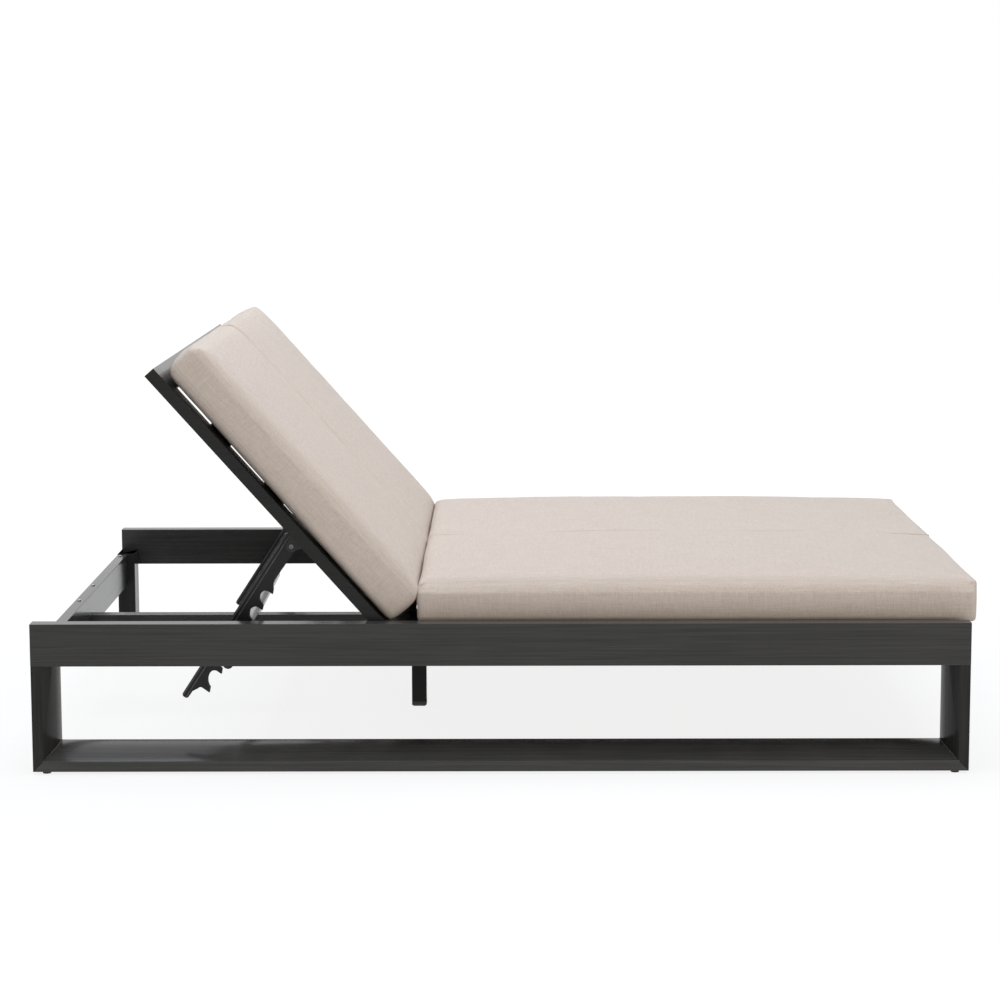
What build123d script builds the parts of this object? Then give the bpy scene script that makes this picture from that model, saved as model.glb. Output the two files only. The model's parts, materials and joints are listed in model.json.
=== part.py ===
from build123d import *
import os
from math import atan2, cos, radians, sin

# Double chaise lounger. Lengths are millimetres and angles are degrees. X runs from the head
# end to the foot end, Y from the near side to the far side and Z up. The origin is on the
# floor, in the middle of the whole part. The far side mirrors the near side.

# Whole frame
frame_length = 2000.0
frame_width = 1410.0
rail_top = 326.5
foot_overhang = 15.0
overrun = 10.0

# Side frames: a top rail on two posts and a bottom rail
top_rail_depth = 38.0
top_rail_height = 91.0
side_depth = 121.0
side_face_width = 44.0
side_lip_width = 22.5
bevel_depth = 52.0
post_tail_top = 275.0
frame_wall = 2.0
end_plate_thickness = 3.0

# Glides under the four corners
glide_height = 6.0
glide_radius = 9.0
glide_end_inset = 27.0
glide_front_inset = 18.0

# Cross rails, centre beam and centre leg
cross_rail_thickness = 25.0
cross_rail_height = 80.0
cross_rail_top = 273.0
cross_rail_wall = 2.0
beam_width = 38.0
beam_height = 80.0
beam_top = 223.0
leg_width = 35.0
leg_seat_inset = 14.0
leg_cap_height = 12.0
leg_cap_bevel = 4.0
rail_screw_radius = 4.25
rail_screw_height = 2.5
rail_screw_inset = 10.0
rail_screw_end_inset = 25.0
rail_screw_beam_gap = 88.0

# Boards of the seat and of the backrest
board_thickness = 25.4
board_wall = 1.5
board_top = 313.0
stile_width = 65.0
stile_gap = 4.0
slat_width = 63.5
seat_slat_count = 8
foot_inset = 9.0
cap_thickness = 3.0
spacer_radius = 8.0
seat_screw_radius = 3.0
seat_screw_head_radius = 5.0
seat_screw_head_height = 3.0
seat_screw_access_radius = 6.0
seat_screw_end_inset = 118.0
seat_screw_foot_inset = 18.5

# Hinge of the backrest
hinge_head_distance = 756.8
hinge_pin_radius = 5.0
hinge_running_gap = 0.05
hinge_nose_gap = 2.5
hinge_flange_radius = 10.0
hinge_flange_gap = 0.5
hinge_nut_height = 5.0
hinge_nut_radius = 8.0
knuckle_tail_length = 40.0
knuckle_fit_gap = 0.1

# Backrest
backrest_angle = 48.3
back_top_inset = 8.6
back_slat_count = 5
back_slat_hinge_gap = 10.7
bumper_radius = 7.0
bumper_gap = 0.5
bumper_end_inset = 168.0
bumper_inset = 8.0

# Toothed support arms: lengths along an arm count from its pivot
arm_pivot_distance = 268.5
arm_pivot_drop = 25.8
arm_angle = 54.8
arm_tail_length = 41.0
arm_thickness = 12.0
arm_rib_height = 1.5
arm_boss_radius = 12.0
arm_head_depth = 27.0
arm_end_depth = 10.5
arm_head_length = 20.0
arm_head_corner_radius = 9.0
arm_end_front_depth = 4.5
arm_end_corner_radius = 6.0
arm_rib_width = 2.6
arm_rib_inset = 1.5
arm_rib_pitch = 8.0
arm_dot_radius = 3.5
arm_dot_distance = 20.0
arm_dot_depth = 9.0
thorn_count = 7
thorn_first_distance = 109.0
thorn_pitch = 41.8
thorn_last_pitch = 49.0
thorn_first_reach = 26.0
thorn_last_reach = 36.0
thorn_flank_length = 30.0
thorn_width = 1.6
nose_length = 9.0
nose_depth = 4.5
notch_depth = 21.5
notch_radius = 11.0
tail_root_depth = 11.0
tail_root_radius = 6.0
tail_slope_length = 12.0
rest_notch = 5

# Pivot of an arm
arm_pin_radius = 4.0
arm_running_gap = 0.05
arm_face_gap = 0.3
arm_pin_head_radius = 5.0
arm_pin_head_height = 3.0
arm_pin_dimple_radius = 2.2
arm_pin_dimple_depth = 2.5
arm_nut_radius = 7.0
arm_nut_height = 5.0
lug_thickness = 3.5
lug_board_gap = 9.0
lug_width = 50.0
bracket_width = 34.0
bracket_screw_radius = 4.0
bracket_screw_height = 2.0
bracket_screw_offset = 16.0

# Catch rod across the frame and its hanger brackets
rod_radius = 12.0
rod_wall = 2.0
rod_seat_gap = 0.4
rod_relief_gap = 0.8
rod_relief_turn = 6.0
rod_relief_steps = 6
hanger_thickness = 4.0
hanger_width = 40.0
hanger_flange_height = 40.0
hanger_reach = 77.0
hanger_rod_gap = 9.0
plug_length = 18.0
plug_fit_gap = 0.1
rod_screw_radius = 3.0
rod_screw_head_radius = 6.0
rod_screw_head_height = 3.5
hanger_screw_offset = 12.0
hanger_screw_radius = 4.5
hanger_screw_height = 2.5

# Cushions
cushion_side_gap = 10.0
cushion_middle_gap = 4.0
cushion_lift_gap = 0.3
seat_cushion_height = 107.0
seat_cushion_hinge_gap = 70.7
back_cushion_height = 111.0
back_cushion_hinge_gap = 17.2
back_cushion_top_inset = 21.0
cushion_edge_radius = 28.0
cushion_bottom_edge_radius = 8.0
cushion_corner_radius = 40.0

# Places worked out from the sizes above
head_x = -(frame_length + foot_overhang) / 2
foot_x = head_x + frame_length
middle_x = (head_x + foot_x) / 2
near_y = -frame_width / 2
rail_bottom = rail_top - top_rail_height
rail_inner_y = near_y + top_rail_depth
post_inner_y = near_y + side_depth
stile_outer_y = rail_inner_y + stile_gap
stile_inner_y = stile_outer_y + stile_width
board_bottom = board_top - board_thickness
board_middle = board_top - board_thickness / 2
hinge_x = head_x + hinge_head_distance
hinge_z = board_middle
seat_head_x = hinge_x + board_thickness / 2 + hinge_nose_gap
leg_head_x = seat_head_x + leg_seat_inset
leg_foot_x = leg_head_x + leg_width
seat_foot_x = foot_x - foot_inset
back_top_x = head_x + back_top_inset
hinge_axis = Axis((hinge_x, 0, hinge_z), (0, 1, 0))
lug_outer_y = stile_inner_y + lug_board_gap
arm_near_y = lug_outer_y + lug_thickness + arm_face_gap
arm_depth = arm_thickness + 2 * arm_rib_height
arm_far_y = arm_near_y + arm_depth
flat_pivot = (hinge_x - arm_pivot_distance, board_bottom - arm_pivot_drop)
arm_swing = arm_angle + backrest_angle
last_thorn_distance = thorn_first_distance + thorn_pitch * (thorn_count - 2) + thorn_last_pitch
arm_length = last_thorn_distance + arm_tail_length


def block(x_span, y_span, z_span):
    """Box between three pairs of limits."""
    spans = (x_span, y_span, z_span)
    sizes = [high - low for low, high in spans]
    middle = [(high + low) / 2 for low, high in spans]
    return Pos(*middle) * Box(*sizes)


def shrunk(span, wall):
    """A span with a wall taken off both ends."""
    return (span[0] + wall, span[1] - wall)


def tube(x_span, y_span, z_span, wall, along):
    """Rectangular tube, open at both ends of the named direction."""
    spans = {"x": x_span, "y": y_span, "z": z_span}
    inner = [span if name == along else shrunk(span, wall) for name, span in spans.items()]
    inner = [shrunk(span, -overrun) if name == along else span for name, span in zip(spans, inner)]
    return block(x_span, y_span, z_span) - block(*inner)


def rod_along_y(x, z, y_span, radius):
    """Cylinder along Y."""
    low, high = y_span
    return Pos(x, (low + high) / 2, z) * (Rot(X=90) * Cylinder(radius, high - low))


def rod_along_z(x, y, z_span, radius):
    """Cylinder along Z."""
    low, high = z_span
    return Pos(x, y, (low + high) / 2) * Cylinder(radius, high - low)


def far(shape):
    """The same piece on the far side."""
    return mirror(shape, about=Plane.XZ)


def foot(shape):
    """The same piece at the foot end of the frame."""
    return mirror(shape, about=Plane.YZ.offset(middle_x))


def raised(shape):
    """A backrest piece, drawn flat, turned up to the angle of rest."""
    return shape.rotate(hinge_axis, backrest_angle)


def turned(point, centre, angle):
    """A point (x, z) turned about a centre, the way the backrest rises."""
    x, z = point[0] - centre[0], point[1] - centre[1]
    c, s = cos(radians(angle)), sin(radians(angle))
    return (centre[0] + x * c + z * s, centre[1] - x * s + z * c)


def save(name, shapes):
    """Write one sub-part; a list of shapes becomes a group of separate solids."""
    solids = [solid for shape in shapes for solid in shape.solids()]
    export_step(solids[0] if len(solids) == 1 else Compound(children=solids), f"parts/{name}.step")


# Side frames
def side_section():
    """Section of posts and bottom rails: x from the outer edge inwards, y from the front."""
    points = [
        (0, 0),
        (side_lip_width, 0),
        (side_face_width, bevel_depth),
        (side_face_width, side_depth),
        (0, side_depth),
    ]
    outer = make_face(Polyline(*points, close=True))
    return outer - offset(outer, amount=-frame_wall, kind=Kind.INTERSECTION)


def mitre(keep_post):
    """Wedge on one side of the mitre between the head post and the bottom rail."""
    reach = side_face_width + overrun
    low = (head_x - overrun, glide_height - overrun)
    high = (head_x + reach, glide_height + reach)
    corner = (high[0], low[1]) if keep_post else (low[0], high[1])
    points = [(x, near_y - overrun, z) for x, z in (low, high, corner)]
    wedge = Face(Wire.make_polygon(points, close=True))
    return Solid.extrude(wedge, Vector(0, side_depth + 2 * overrun, 0))


def head_post():
    """Near post at the head end; the top rail sits in its notch."""
    place = Plane(origin=(head_x, near_y, glide_height), x_dir=(1, 0, 0), z_dir=(0, 0, 1))
    post = extrude(place * side_section(), amount=post_tail_top - glide_height)
    notch = block(
        (head_x - overrun, head_x + side_face_width + overrun),
        (near_y - overrun, rail_inner_y),
        (rail_bottom, post_tail_top + overrun),
    )
    return post - notch - mitre(True)


def bottom_rail():
    """Near bottom rail, mitred into both posts."""
    place = Plane(origin=(foot_x, near_y, glide_height), x_dir=(0, 0, 1), z_dir=(-1, 0, 0))
    rail = extrude(place * side_section(), amount=frame_length)
    return rail - mitre(False) - foot(mitre(False))


def top_rail():
    """Near top rail with a hole for the hinge pin in its inner wall."""
    rail = tube((head_x, foot_x), (near_y, rail_inner_y), (rail_bottom, rail_top), frame_wall, "x")
    hole_span = (rail_inner_y - frame_wall - overrun, rail_inner_y + overrun)
    return rail - rod_along_y(hinge_x, hinge_z, hole_span, hinge_pin_radius)


def end_plate():
    """Plate welded flush into the head end of the near top rail."""
    return block(
        (head_x, head_x + end_plate_thickness),
        shrunk((near_y, rail_inner_y), frame_wall),
        shrunk((rail_bottom, rail_top), frame_wall),
    )


def glide():
    """Glide under the near head corner."""
    x, y = head_x + glide_end_inset, near_y + glide_front_inset
    return rod_along_z(x, y, (0, glide_height), glide_radius)


def save_side_frames():
    """Top rails, posts, bottom rails, end plates and glides."""
    for name, shape in {"top_rail": top_rail(), "bottom_rail": bottom_rail()}.items():
        save(f"near_{name}", [shape])
        save(f"far_{name}", [far(shape)])
    post = head_post()
    save("near_head_post", [post])
    save("near_foot_post", [foot(post)])
    save("far_head_post", [far(post)])
    save("far_foot_post", [far(foot(post))])
    for name, shape in {"rail_end_plates": end_plate(), "glides": glide()}.items():
        save(name, [shape, foot(shape), far(shape), far(foot(shape))])


# Cross rails, centre beam and centre leg
cross_rail_span = (cross_rail_top - cross_rail_height, cross_rail_top)
beam_span = (beam_top - beam_height, beam_top)
beam_y_span = (-beam_width / 2, beam_width / 2)


def head_cross_rail():
    """Cross rail between the two head posts."""
    x_span = (head_x, head_x + cross_rail_thickness)
    return tube(x_span, (post_inner_y, -post_inner_y), cross_rail_span, cross_rail_wall, "y")


def hinge_cross_rail():
    """Cross rail under the hinge, from top rail to top rail, on the centre leg."""
    z_span = (rail_bottom, cross_rail_top)
    return tube((leg_head_x, leg_foot_x), (rail_inner_y, -rail_inner_y), z_span, cross_rail_wall, "y")


def rail_screw(y):
    """Low round screw head on top of the head cross rail."""
    z_span = (cross_rail_top, cross_rail_top + rail_screw_height)
    return rod_along_z(head_x + rail_screw_inset, y, z_span, rail_screw_radius)


def centre_beam_head():
    """Centre beam from the head cross rail to the leg, with a saddle for the catch rod."""
    x_span = (head_x + cross_rail_thickness, leg_head_x)
    beam = tube(x_span, beam_y_span, beam_span, cross_rail_wall, "x")
    saddle_y = shrunk(beam_y_span, -overrun)
    saddle = rod_along_y(rod_x, rod_z, saddle_y, rod_radius)
    above = block((rod_x - rod_radius, rod_x + rod_radius), saddle_y, (rod_z, beam_top + overrun))
    return beam - saddle - above


def centre_beam_foot():
    """Centre beam from the leg to the foot cross rail."""
    x_span = (leg_foot_x, foot_x - cross_rail_thickness)
    return tube(x_span, beam_y_span, beam_span, cross_rail_wall, "x")


def centre_leg():
    """Leg tube from its cap up to the hinge cross rail."""
    z_span = (leg_cap_height, rail_bottom)
    return tube((leg_head_x, leg_foot_x), beam_y_span, z_span, cross_rail_wall, "z")


def centre_leg_cap():
    """Bevelled foot cap under the leg."""
    cap = block((leg_head_x, leg_foot_x), beam_y_span, (0, leg_cap_height))
    return chamfer(cap.faces().sort_by(Axis.Z)[0].edges(), leg_cap_bevel)


def save_middle():
    """Cross rails with their screws, centre beam and leg."""
    save("head_cross_rail", [head_cross_rail()])
    save("foot_cross_rail", [foot(head_cross_rail())])
    save("hinge_cross_rail", [hinge_cross_rail()])
    sides = (-post_inner_y - rail_screw_end_inset, beam_width / 2 + rail_screw_beam_gap)
    save("cross_rail_screws", [rail_screw(y * turn) for y in sides for turn in (-1, 1)])
    save("centre_beam_head", [centre_beam_head()])
    save("centre_beam_foot", [centre_beam_foot()])
    save("centre_leg", [centre_leg()])
    save("centre_leg_cap", [centre_leg_cap()])


# Seat boards
board_span = (board_bottom, board_top)
slat_y_span = (stile_inner_y, -stile_inner_y)
seat_slat_pitch = (seat_foot_x - seat_head_x - slat_width) / (seat_slat_count - 1)
seat_screw_rows = (leg_head_x + leg_width / 2, foot_x - seat_screw_foot_inset)
seat_screw_end_y = stile_inner_y + seat_screw_end_inset
seat_screw_sides = (seat_screw_end_y, 0, -seat_screw_end_y)


def seat_screw_places():
    """Screws into the hinge cross rail and the foot cross rail."""
    return [(x, y) for x in seat_screw_rows for y in seat_screw_sides]


def seat_slat(number):
    """One seat slat, with access holes where the screws of the seat go down."""
    low = seat_head_x + seat_slat_pitch * (number - 1)
    slat = tube((low, low + slat_width), slat_y_span, board_span, board_wall, "y")
    for x, y in seat_screw_places():
        shank_span = (board_bottom - overrun, board_middle)
        slat = slat - rod_along_z(x, y, shank_span, seat_screw_radius)
        slat = slat - rod_along_z(x, y, (board_middle, board_top + overrun), seat_screw_access_radius)
    return slat


def seat_stile():
    """Near long board of the seat."""
    return tube((seat_head_x, seat_foot_x), (stile_outer_y, stile_inner_y), board_span, board_wall, "x")


def board_cap(x_span):
    """Cap pressed flush into the end of a long board."""
    y_span = shrunk((stile_outer_y, stile_inner_y), board_wall)
    return block(x_span, y_span, shrunk(board_span, board_wall))


def seat_spacer(x, y):
    """Round spacer under a slat, with a hole for its screw."""
    spacer = rod_along_z(x, y, (cross_rail_top, board_bottom), spacer_radius)
    return spacer - rod_along_z(x, y, (rail_bottom, board_top), seat_screw_radius)


def seat_screw(x, y):
    """Screw with its head inside the slat and its shank in the cross rail."""
    floor = board_bottom + board_wall
    shank = rod_along_z(x, y, (cross_rail_top, floor), seat_screw_radius)
    return shank + rod_along_z(x, y, (floor, floor + seat_screw_head_height), seat_screw_head_radius)


def post_pad():
    """Pad between the foot post and the long board of the seat."""
    return block(
        (foot_x - side_face_width, seat_foot_x),
        (stile_outer_y, stile_inner_y),
        (post_tail_top, board_bottom),
    )


def save_seat():
    """Seat boards with their caps, spacers, pads and screws."""
    save("near_seat_stile", [seat_stile()])
    save("far_seat_stile", [far(seat_stile())])
    caps = [
        board_cap((seat_head_x, seat_head_x + cap_thickness)),
        board_cap((seat_foot_x - cap_thickness, seat_foot_x)),
    ]
    save("seat_stile_caps", caps + [far(cap) for cap in caps])
    for number in range(1, seat_slat_count + 1):
        save(f"seat_slat_{number}", [seat_slat(number)])
    save("seat_spacers", [seat_spacer(x, y) for x, y in seat_screw_places()])
    save("seat_screws", [seat_screw(x, y) for x, y in seat_screw_places()])
    save("post_pads", [post_pad(), far(post_pad())])


# Hinge of the backrest
def hinge_pin():
    """Shoulder pin fixed in the near top rail, with a nut inside the rail."""
    nut_top = rail_inner_y - frame_wall
    shank = rod_along_y(hinge_x, hinge_z, (nut_top, stile_inner_y - board_wall), hinge_pin_radius)
    nut = rod_along_y(hinge_x, hinge_z, (nut_top - hinge_nut_height, nut_top), hinge_nut_radius)
    flange_span = (rail_inner_y, stile_outer_y - hinge_flange_gap)
    return shank + nut + rod_along_y(hinge_x, hinge_z, flange_span, hinge_flange_radius)


def hinge_knuckle():
    """Rounded block in the low end of the near back stile, bored for the pin."""
    y_span = (stile_outer_y, stile_inner_y)
    nose = rod_along_y(hinge_x, hinge_z, y_span, board_thickness / 2)
    root_x = hinge_x - board_thickness / 2
    body = block((root_x, hinge_x), y_span, board_span)
    tail_y = shrunk(y_span, board_wall + knuckle_fit_gap)
    tail_z = shrunk(board_span, board_wall + knuckle_fit_gap)
    tail = block((root_x - knuckle_tail_length, root_x), tail_y, tail_z)
    bore = rod_along_y(hinge_x, hinge_z, shrunk(y_span, -overrun), hinge_pin_radius + hinge_running_gap)
    return nose + body + tail - bore


# Backrest, drawn flat and then raised
back_slats_length = hinge_x - back_slat_hinge_gap - back_top_x
back_slat_pitch = (back_slats_length - slat_width) / (back_slat_count - 1)


def back_stile():
    """Near long board of the backrest."""
    x_span = (back_top_x, hinge_x - board_thickness / 2)
    return tube(x_span, (stile_outer_y, stile_inner_y), board_span, board_wall, "x")


def back_slat(number):
    """One backrest slat; the first is at the top."""
    low = back_top_x + back_slat_pitch * (number - 1)
    return tube((low, low + slat_width), slat_y_span, board_span, board_wall, "y")


def bumper(y):
    """Bumper under the top slat; it lands on the head cross rail when the backrest is flat."""
    z_span = (cross_rail_top + bumper_gap, board_bottom)
    return rod_along_z(back_top_x + bumper_inset, y, z_span, bumper_radius)


def save_backrest_boards():
    """Back boards, knuckles, caps and bumpers."""
    bumper_y = stile_inner_y + bumper_end_inset
    pieces = {
        "near_back_stile": [back_stile()],
        "far_back_stile": [far(back_stile())],
        "hinge_knuckles": [hinge_knuckle(), far(hinge_knuckle())],
        "back_bumpers": [bumper(bumper_y), bumper(-bumper_y)],
    }
    cap = board_cap((back_top_x, back_top_x + cap_thickness))
    pieces["back_stile_caps"] = [cap, far(cap)]
    for number in range(1, back_slat_count + 1):
        pieces[f"back_slat_{number}"] = [back_slat(number)]
    for name, shapes in pieces.items():
        save(name, [raised(shape) for shape in shapes])
    save("hinge_pins", [hinge_pin(), far(hinge_pin())])


# Support arms, drawn along +X with the thorns towards -Z and then turned to rest
def thorn_tip(number):
    """Along and across place of a thorn's tip; number counts from the pivot."""
    share = number / (thorn_count - 1)
    reach = thorn_first_reach + share * (thorn_last_reach - thorn_first_reach)
    stretch = thorn_last_pitch - thorn_pitch if number == thorn_count - 1 else 0
    return (thorn_first_distance + thorn_pitch * number + stretch, reach)


def rod_on_arm():
    """Along and across place of the catch rod while the arm holds the backrest."""
    along, across = thorn_tip(rest_notch - 1)
    return (along + thorn_width + rod_radius + rod_seat_gap, across)


def arm_to_rest(along, across):
    """World X and Z of a place on an arm at rest."""
    pivot = turned(flat_pivot, (hinge_x, hinge_z), backrest_angle)
    c, s = cos(radians(arm_angle)), sin(radians(arm_angle))
    return (pivot[0] - along * c + across * s, pivot[1] - along * s - across * c)


def rest_to_arm(x, z, recline):
    """Place on an arm of a fixed point, once the backrest has reclined by an angle."""
    pivot = turned(flat_pivot, (hinge_x, hinge_z), backrest_angle - recline)
    fold = recline * (arm_swing / backrest_angle - 1)
    c, s = cos(radians(arm_angle - fold)), sin(radians(arm_angle - fold))
    x, z = x - pivot[0], z - pivot[1]
    return (-x * c - z * s, x * s - z * c)


rod_x, rod_z = arm_to_rest(*rod_on_arm())


def back_edge(along):
    """Across place of the arm's straight back edge."""
    share = (along + arm_head_length) / (arm_length + arm_head_length)
    return -arm_head_depth + share * (arm_head_depth - arm_end_depth)


def arm_place(along, across):
    """Place on the XZ plane of an along and across place."""
    return Vector(along, 0, -across)


def wall_and_root(along, top, bottom, radius):
    """Steep wall of a thorn, down from its tip, and the round root at its foot."""
    wall = Edge.make_line(arm_place(along, top), arm_place(along, bottom + radius))
    lean = radius * (1 - cos(radians(45)))
    root = Edge.make_three_point_arc(
        arm_place(along, bottom + radius),
        arm_place(along + lean, bottom + lean),
        arm_place(along + radius, bottom),
    )
    return [wall, root]


def rise_to_thorn(number, along, across):
    """Concave rise from a place to a thorn's nose, then its slanted nose and its tip."""
    tip = thorn_tip(number)
    nose = arm_place(tip[0] - nose_length, tip[1] - nose_depth)
    return [
        Edge.make_tangent_arc(arm_place(along, across), Vector(1, 0, 0), nose),
        Edge.make_line(nose, arm_place(*tip)),
        Edge.make_line(arm_place(*tip), arm_place(tip[0] + thorn_width, tip[1])),
    ]


def arm_front():
    """Edges of an arm's front from its boss to the last thorn."""
    start = (thorn_first_distance - thorn_flank_length, arm_boss_radius)
    edges = [Edge.make_line(arm_place(0, arm_boss_radius), arm_place(*start))]
    edges = edges + rise_to_thorn(0, *start)
    for number in range(1, thorn_count):
        tip = thorn_tip(number - 1)
        wall = tip[0] + thorn_width
        bottom = tip[1] - notch_depth
        edges = edges + wall_and_root(wall, tip[1], bottom, notch_radius)
        edges = edges + rise_to_thorn(number, wall + notch_radius, bottom)
    return edges


def arm_tail():
    """Edges from the last thorn round the arm's end and head, back to its boss."""
    tip = thorn_tip(thorn_count - 1)
    wall = tip[0] + thorn_width
    foot = wall + tail_root_radius
    places = [
        (foot, tail_root_depth),
        (foot + tail_slope_length, arm_end_front_depth),
        (arm_length, arm_end_front_depth),
        (arm_length, back_edge(arm_length)),
        (-arm_head_length, back_edge(-arm_head_length)),
        (-arm_head_length, 0),
        (0, arm_boss_radius),
    ]
    pairs = zip(places, places[1:])
    lines = [Edge.make_line(arm_place(*start), arm_place(*end)) for start, end in pairs]
    return wall_and_root(wall, tip[1], tail_root_depth, tail_root_radius) + lines


def arm_face(points):
    """Face on the XZ plane from along and across places."""
    return Face(Wire.make_polygon([(along, 0, -across) for along, across in points], close=True))


def arm_slab(face, height):
    """Slab of a height centred on the XZ plane."""
    return Pos(0, -height / 2, 0) * Solid.extrude(face, Vector(0, height, 0))


def arm_round(along, across, radius, height):
    """Round bar through the arm at a place."""
    return rod_along_y(along, -across, (-height / 2, height / 2), radius)


def arm_rib(number):
    """Raised rib beside the back edge."""
    inset = arm_rib_inset + arm_rib_pitch * number
    ends = (-arm_head_length + arm_head_corner_radius, arm_length - arm_end_corner_radius)
    upper = [(along, back_edge(along) + inset) for along in ends]
    lower = [(along, back_edge(along) + inset + arm_rib_width) for along in reversed(ends)]
    return arm_slab(arm_face(upper + lower), arm_depth)


def rod_relief():
    """Way out of the rest notch for the catch rod while the backrest goes down."""
    radius = rod_radius + rod_relief_gap
    height = arm_depth + overrun
    turns = [rod_relief_turn * step / rod_relief_steps for step in range(rod_relief_steps + 1)]
    places = [rest_to_arm(rod_x, rod_z, turn) for turn in turns]
    relief = arm_round(*places[1], radius, height)
    for start, end in zip(places[1:], places[2:]):
        tilt = atan2(end[1] - start[1], end[0] - start[0])
        side = (-sin(tilt) * radius, cos(tilt) * radius)
        rim = ((start, 1), (end, 1), (end, -1), (start, -1))
        corners = [(place[0] + k * side[0], place[1] + k * side[1]) for place, k in rim]
        relief = relief + arm_slab(arm_face(corners), height) + arm_round(*end, radius, height)
    return relief


def support_arm():
    """Toothed arm along +X with its pivot at the origin."""
    arm = arm_slab(Face(Wire(arm_front() + arm_tail())), arm_thickness)
    head = arm.edges().filter_by(Axis.Y).group_by(Axis.X)[0].sort_by(Axis.Z)[-1:]
    arm = fillet(head, arm_head_corner_radius)
    ends = arm.edges().filter_by(Axis.Y).sort_by(Axis.X)[-2:]
    arm = fillet(ends, arm_end_corner_radius)
    arm = arm - rod_relief()
    for number in range(2):
        arm = arm + arm_rib(number)
    arm = arm + arm_round(0, 0, arm_boss_radius, arm_depth)
    arm = arm + arm_round(arm_dot_distance, -arm_dot_depth, arm_dot_radius, arm_depth)
    return arm - arm_round(0, 0, arm_pin_radius + arm_running_gap, arm_depth + overrun)


def placed_arm():
    """Near arm at rest, its notch over the catch rod."""
    pivot = arm_to_rest(0, 0)
    spun = mirror(support_arm(), about=Plane.YZ).rotate(Axis.Y, -arm_angle)
    return Pos(pivot[0], (arm_near_y + arm_far_y) / 2, pivot[1]) * spun


# Pivot brackets of the arms, drawn flat and then raised
def arm_bracket():
    """Angle under the near back stile: a plate on the board and a lug down to the pivot."""
    x, z = flat_pivot
    x_span = (x - lug_width / 2, x + lug_width / 2)
    lug_y = (lug_outer_y, lug_outer_y + lug_thickness)
    plate_y = (lug_y[0] - bracket_width, lug_y[1])
    plate = block(x_span, plate_y, (board_bottom - lug_thickness, board_bottom))
    points = [
        (x_span[0], board_bottom),
        (x - arm_boss_radius, z),
        (x + arm_boss_radius, z),
        (x_span[1], board_bottom),
    ]
    web = Face(Wire.make_polygon([(px, lug_y[0], pz) for px, pz in points], close=True))
    lug = Solid.extrude(web, Vector(0, lug_thickness, 0)) + rod_along_y(x, z, lug_y, arm_boss_radius)
    return plate + lug - rod_along_y(x, z, shrunk(lug_y, -overrun), arm_pin_radius)


def bracket_screw(side):
    """Low screw head under the plate of an arm bracket."""
    x = flat_pivot[0] + side * bracket_screw_offset
    y = lug_outer_y - bracket_width / 2
    seat = board_bottom - lug_thickness
    return rod_along_z(x, y, (seat - bracket_screw_height, seat), bracket_screw_radius)


def arm_pin():
    """Pivot screw: head on the lug, shank through the arm and a nut behind it."""
    x, z = flat_pivot
    nut_y = arm_far_y + arm_face_gap
    head = rod_along_y(x, z, (lug_outer_y - arm_pin_head_height, lug_outer_y), arm_pin_head_radius)
    shank = rod_along_y(x, z, (lug_outer_y, nut_y + arm_nut_height), arm_pin_radius)
    nut = rod_along_y(x, z, (nut_y, nut_y + arm_nut_height), arm_nut_radius)
    face = lug_outer_y - arm_pin_head_height
    dimple = rod_along_y(x, z, (face - overrun, face + arm_pin_dimple_depth), arm_pin_dimple_radius)
    return head + shank + nut - dimple


def save_arms():
    """Arms with their brackets, screws and pivots."""
    save("near_support_arm", [placed_arm()])
    save("far_support_arm", [far(placed_arm())])
    save("near_arm_bracket", [raised(arm_bracket())])
    save("far_arm_bracket", [far(raised(arm_bracket()))])
    screws = [raised(bracket_screw(side)) for side in (-1, 1)]
    save("arm_bracket_screws", screws + [far(screw) for screw in screws])
    pin = raised(arm_pin())
    save("arm_pivot_pins", [pin, far(pin)])


# Catch rod and its hangers
hanger_end_y = rail_inner_y + hanger_reach
hanger_shelf_z = rod_z + rod_radius + hanger_rod_gap


def catch_rod():
    """Round tube that the notches of both arms sit over."""
    span = (hanger_end_y, -hanger_end_y)
    return rod_along_y(rod_x, rod_z, span, rod_radius) - rod_along_y(
        rod_x, rod_z, shrunk(span, -overrun), rod_radius - rod_wall
    )


def rod_hanger():
    """Bent plate from the near top rail's inner face to the end of the catch rod."""
    half = hanger_width / 2
    plate_y = (hanger_end_y - hanger_thickness, hanger_end_y)
    shelf_span = (hanger_shelf_z, hanger_shelf_z + hanger_thickness)
    flange = block(
        (rod_x - half, rod_x + half),
        (rail_inner_y, rail_inner_y + hanger_thickness),
        (hanger_shelf_z, hanger_shelf_z + hanger_flange_height),
    )
    shelf = block((rod_x - half, rod_x + half), (rail_inner_y, hanger_end_y), shelf_span)
    drop = block((rod_x - rod_radius, rod_x + rod_radius), plate_y, (rod_z, shelf_span[1]))
    hanger = flange + shelf + drop + rod_along_y(rod_x, rod_z, plate_y, rod_radius)
    return hanger - rod_along_y(rod_x, rod_z, shrunk(plate_y, -overrun), rod_screw_radius)


def rod_plug():
    """Plug in the near end of the catch rod, tapped for its screw."""
    span = (hanger_end_y, hanger_end_y + plug_length)
    plug = rod_along_y(rod_x, rod_z, span, rod_radius - rod_wall - plug_fit_gap)
    return plug - rod_along_y(rod_x, rod_z, shrunk(span, -overrun), rod_screw_radius)


def rod_screw():
    """Screw through the hanger into the plug of the rod."""
    seat = hanger_end_y - hanger_thickness
    head = rod_along_y(rod_x, rod_z, (seat - rod_screw_head_height, seat), rod_screw_head_radius)
    return head + rod_along_y(rod_x, rod_z, (seat, hanger_end_y + plug_length), rod_screw_radius)


def hanger_screw(side):
    """Screw head on the flange of the hanger."""
    seat = rail_inner_y + hanger_thickness
    x = rod_x + side * hanger_screw_offset
    z = hanger_shelf_z + (hanger_flange_height + hanger_thickness) / 2
    return rod_along_y(x, z, (seat, seat + hanger_screw_height), hanger_screw_radius)


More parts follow.
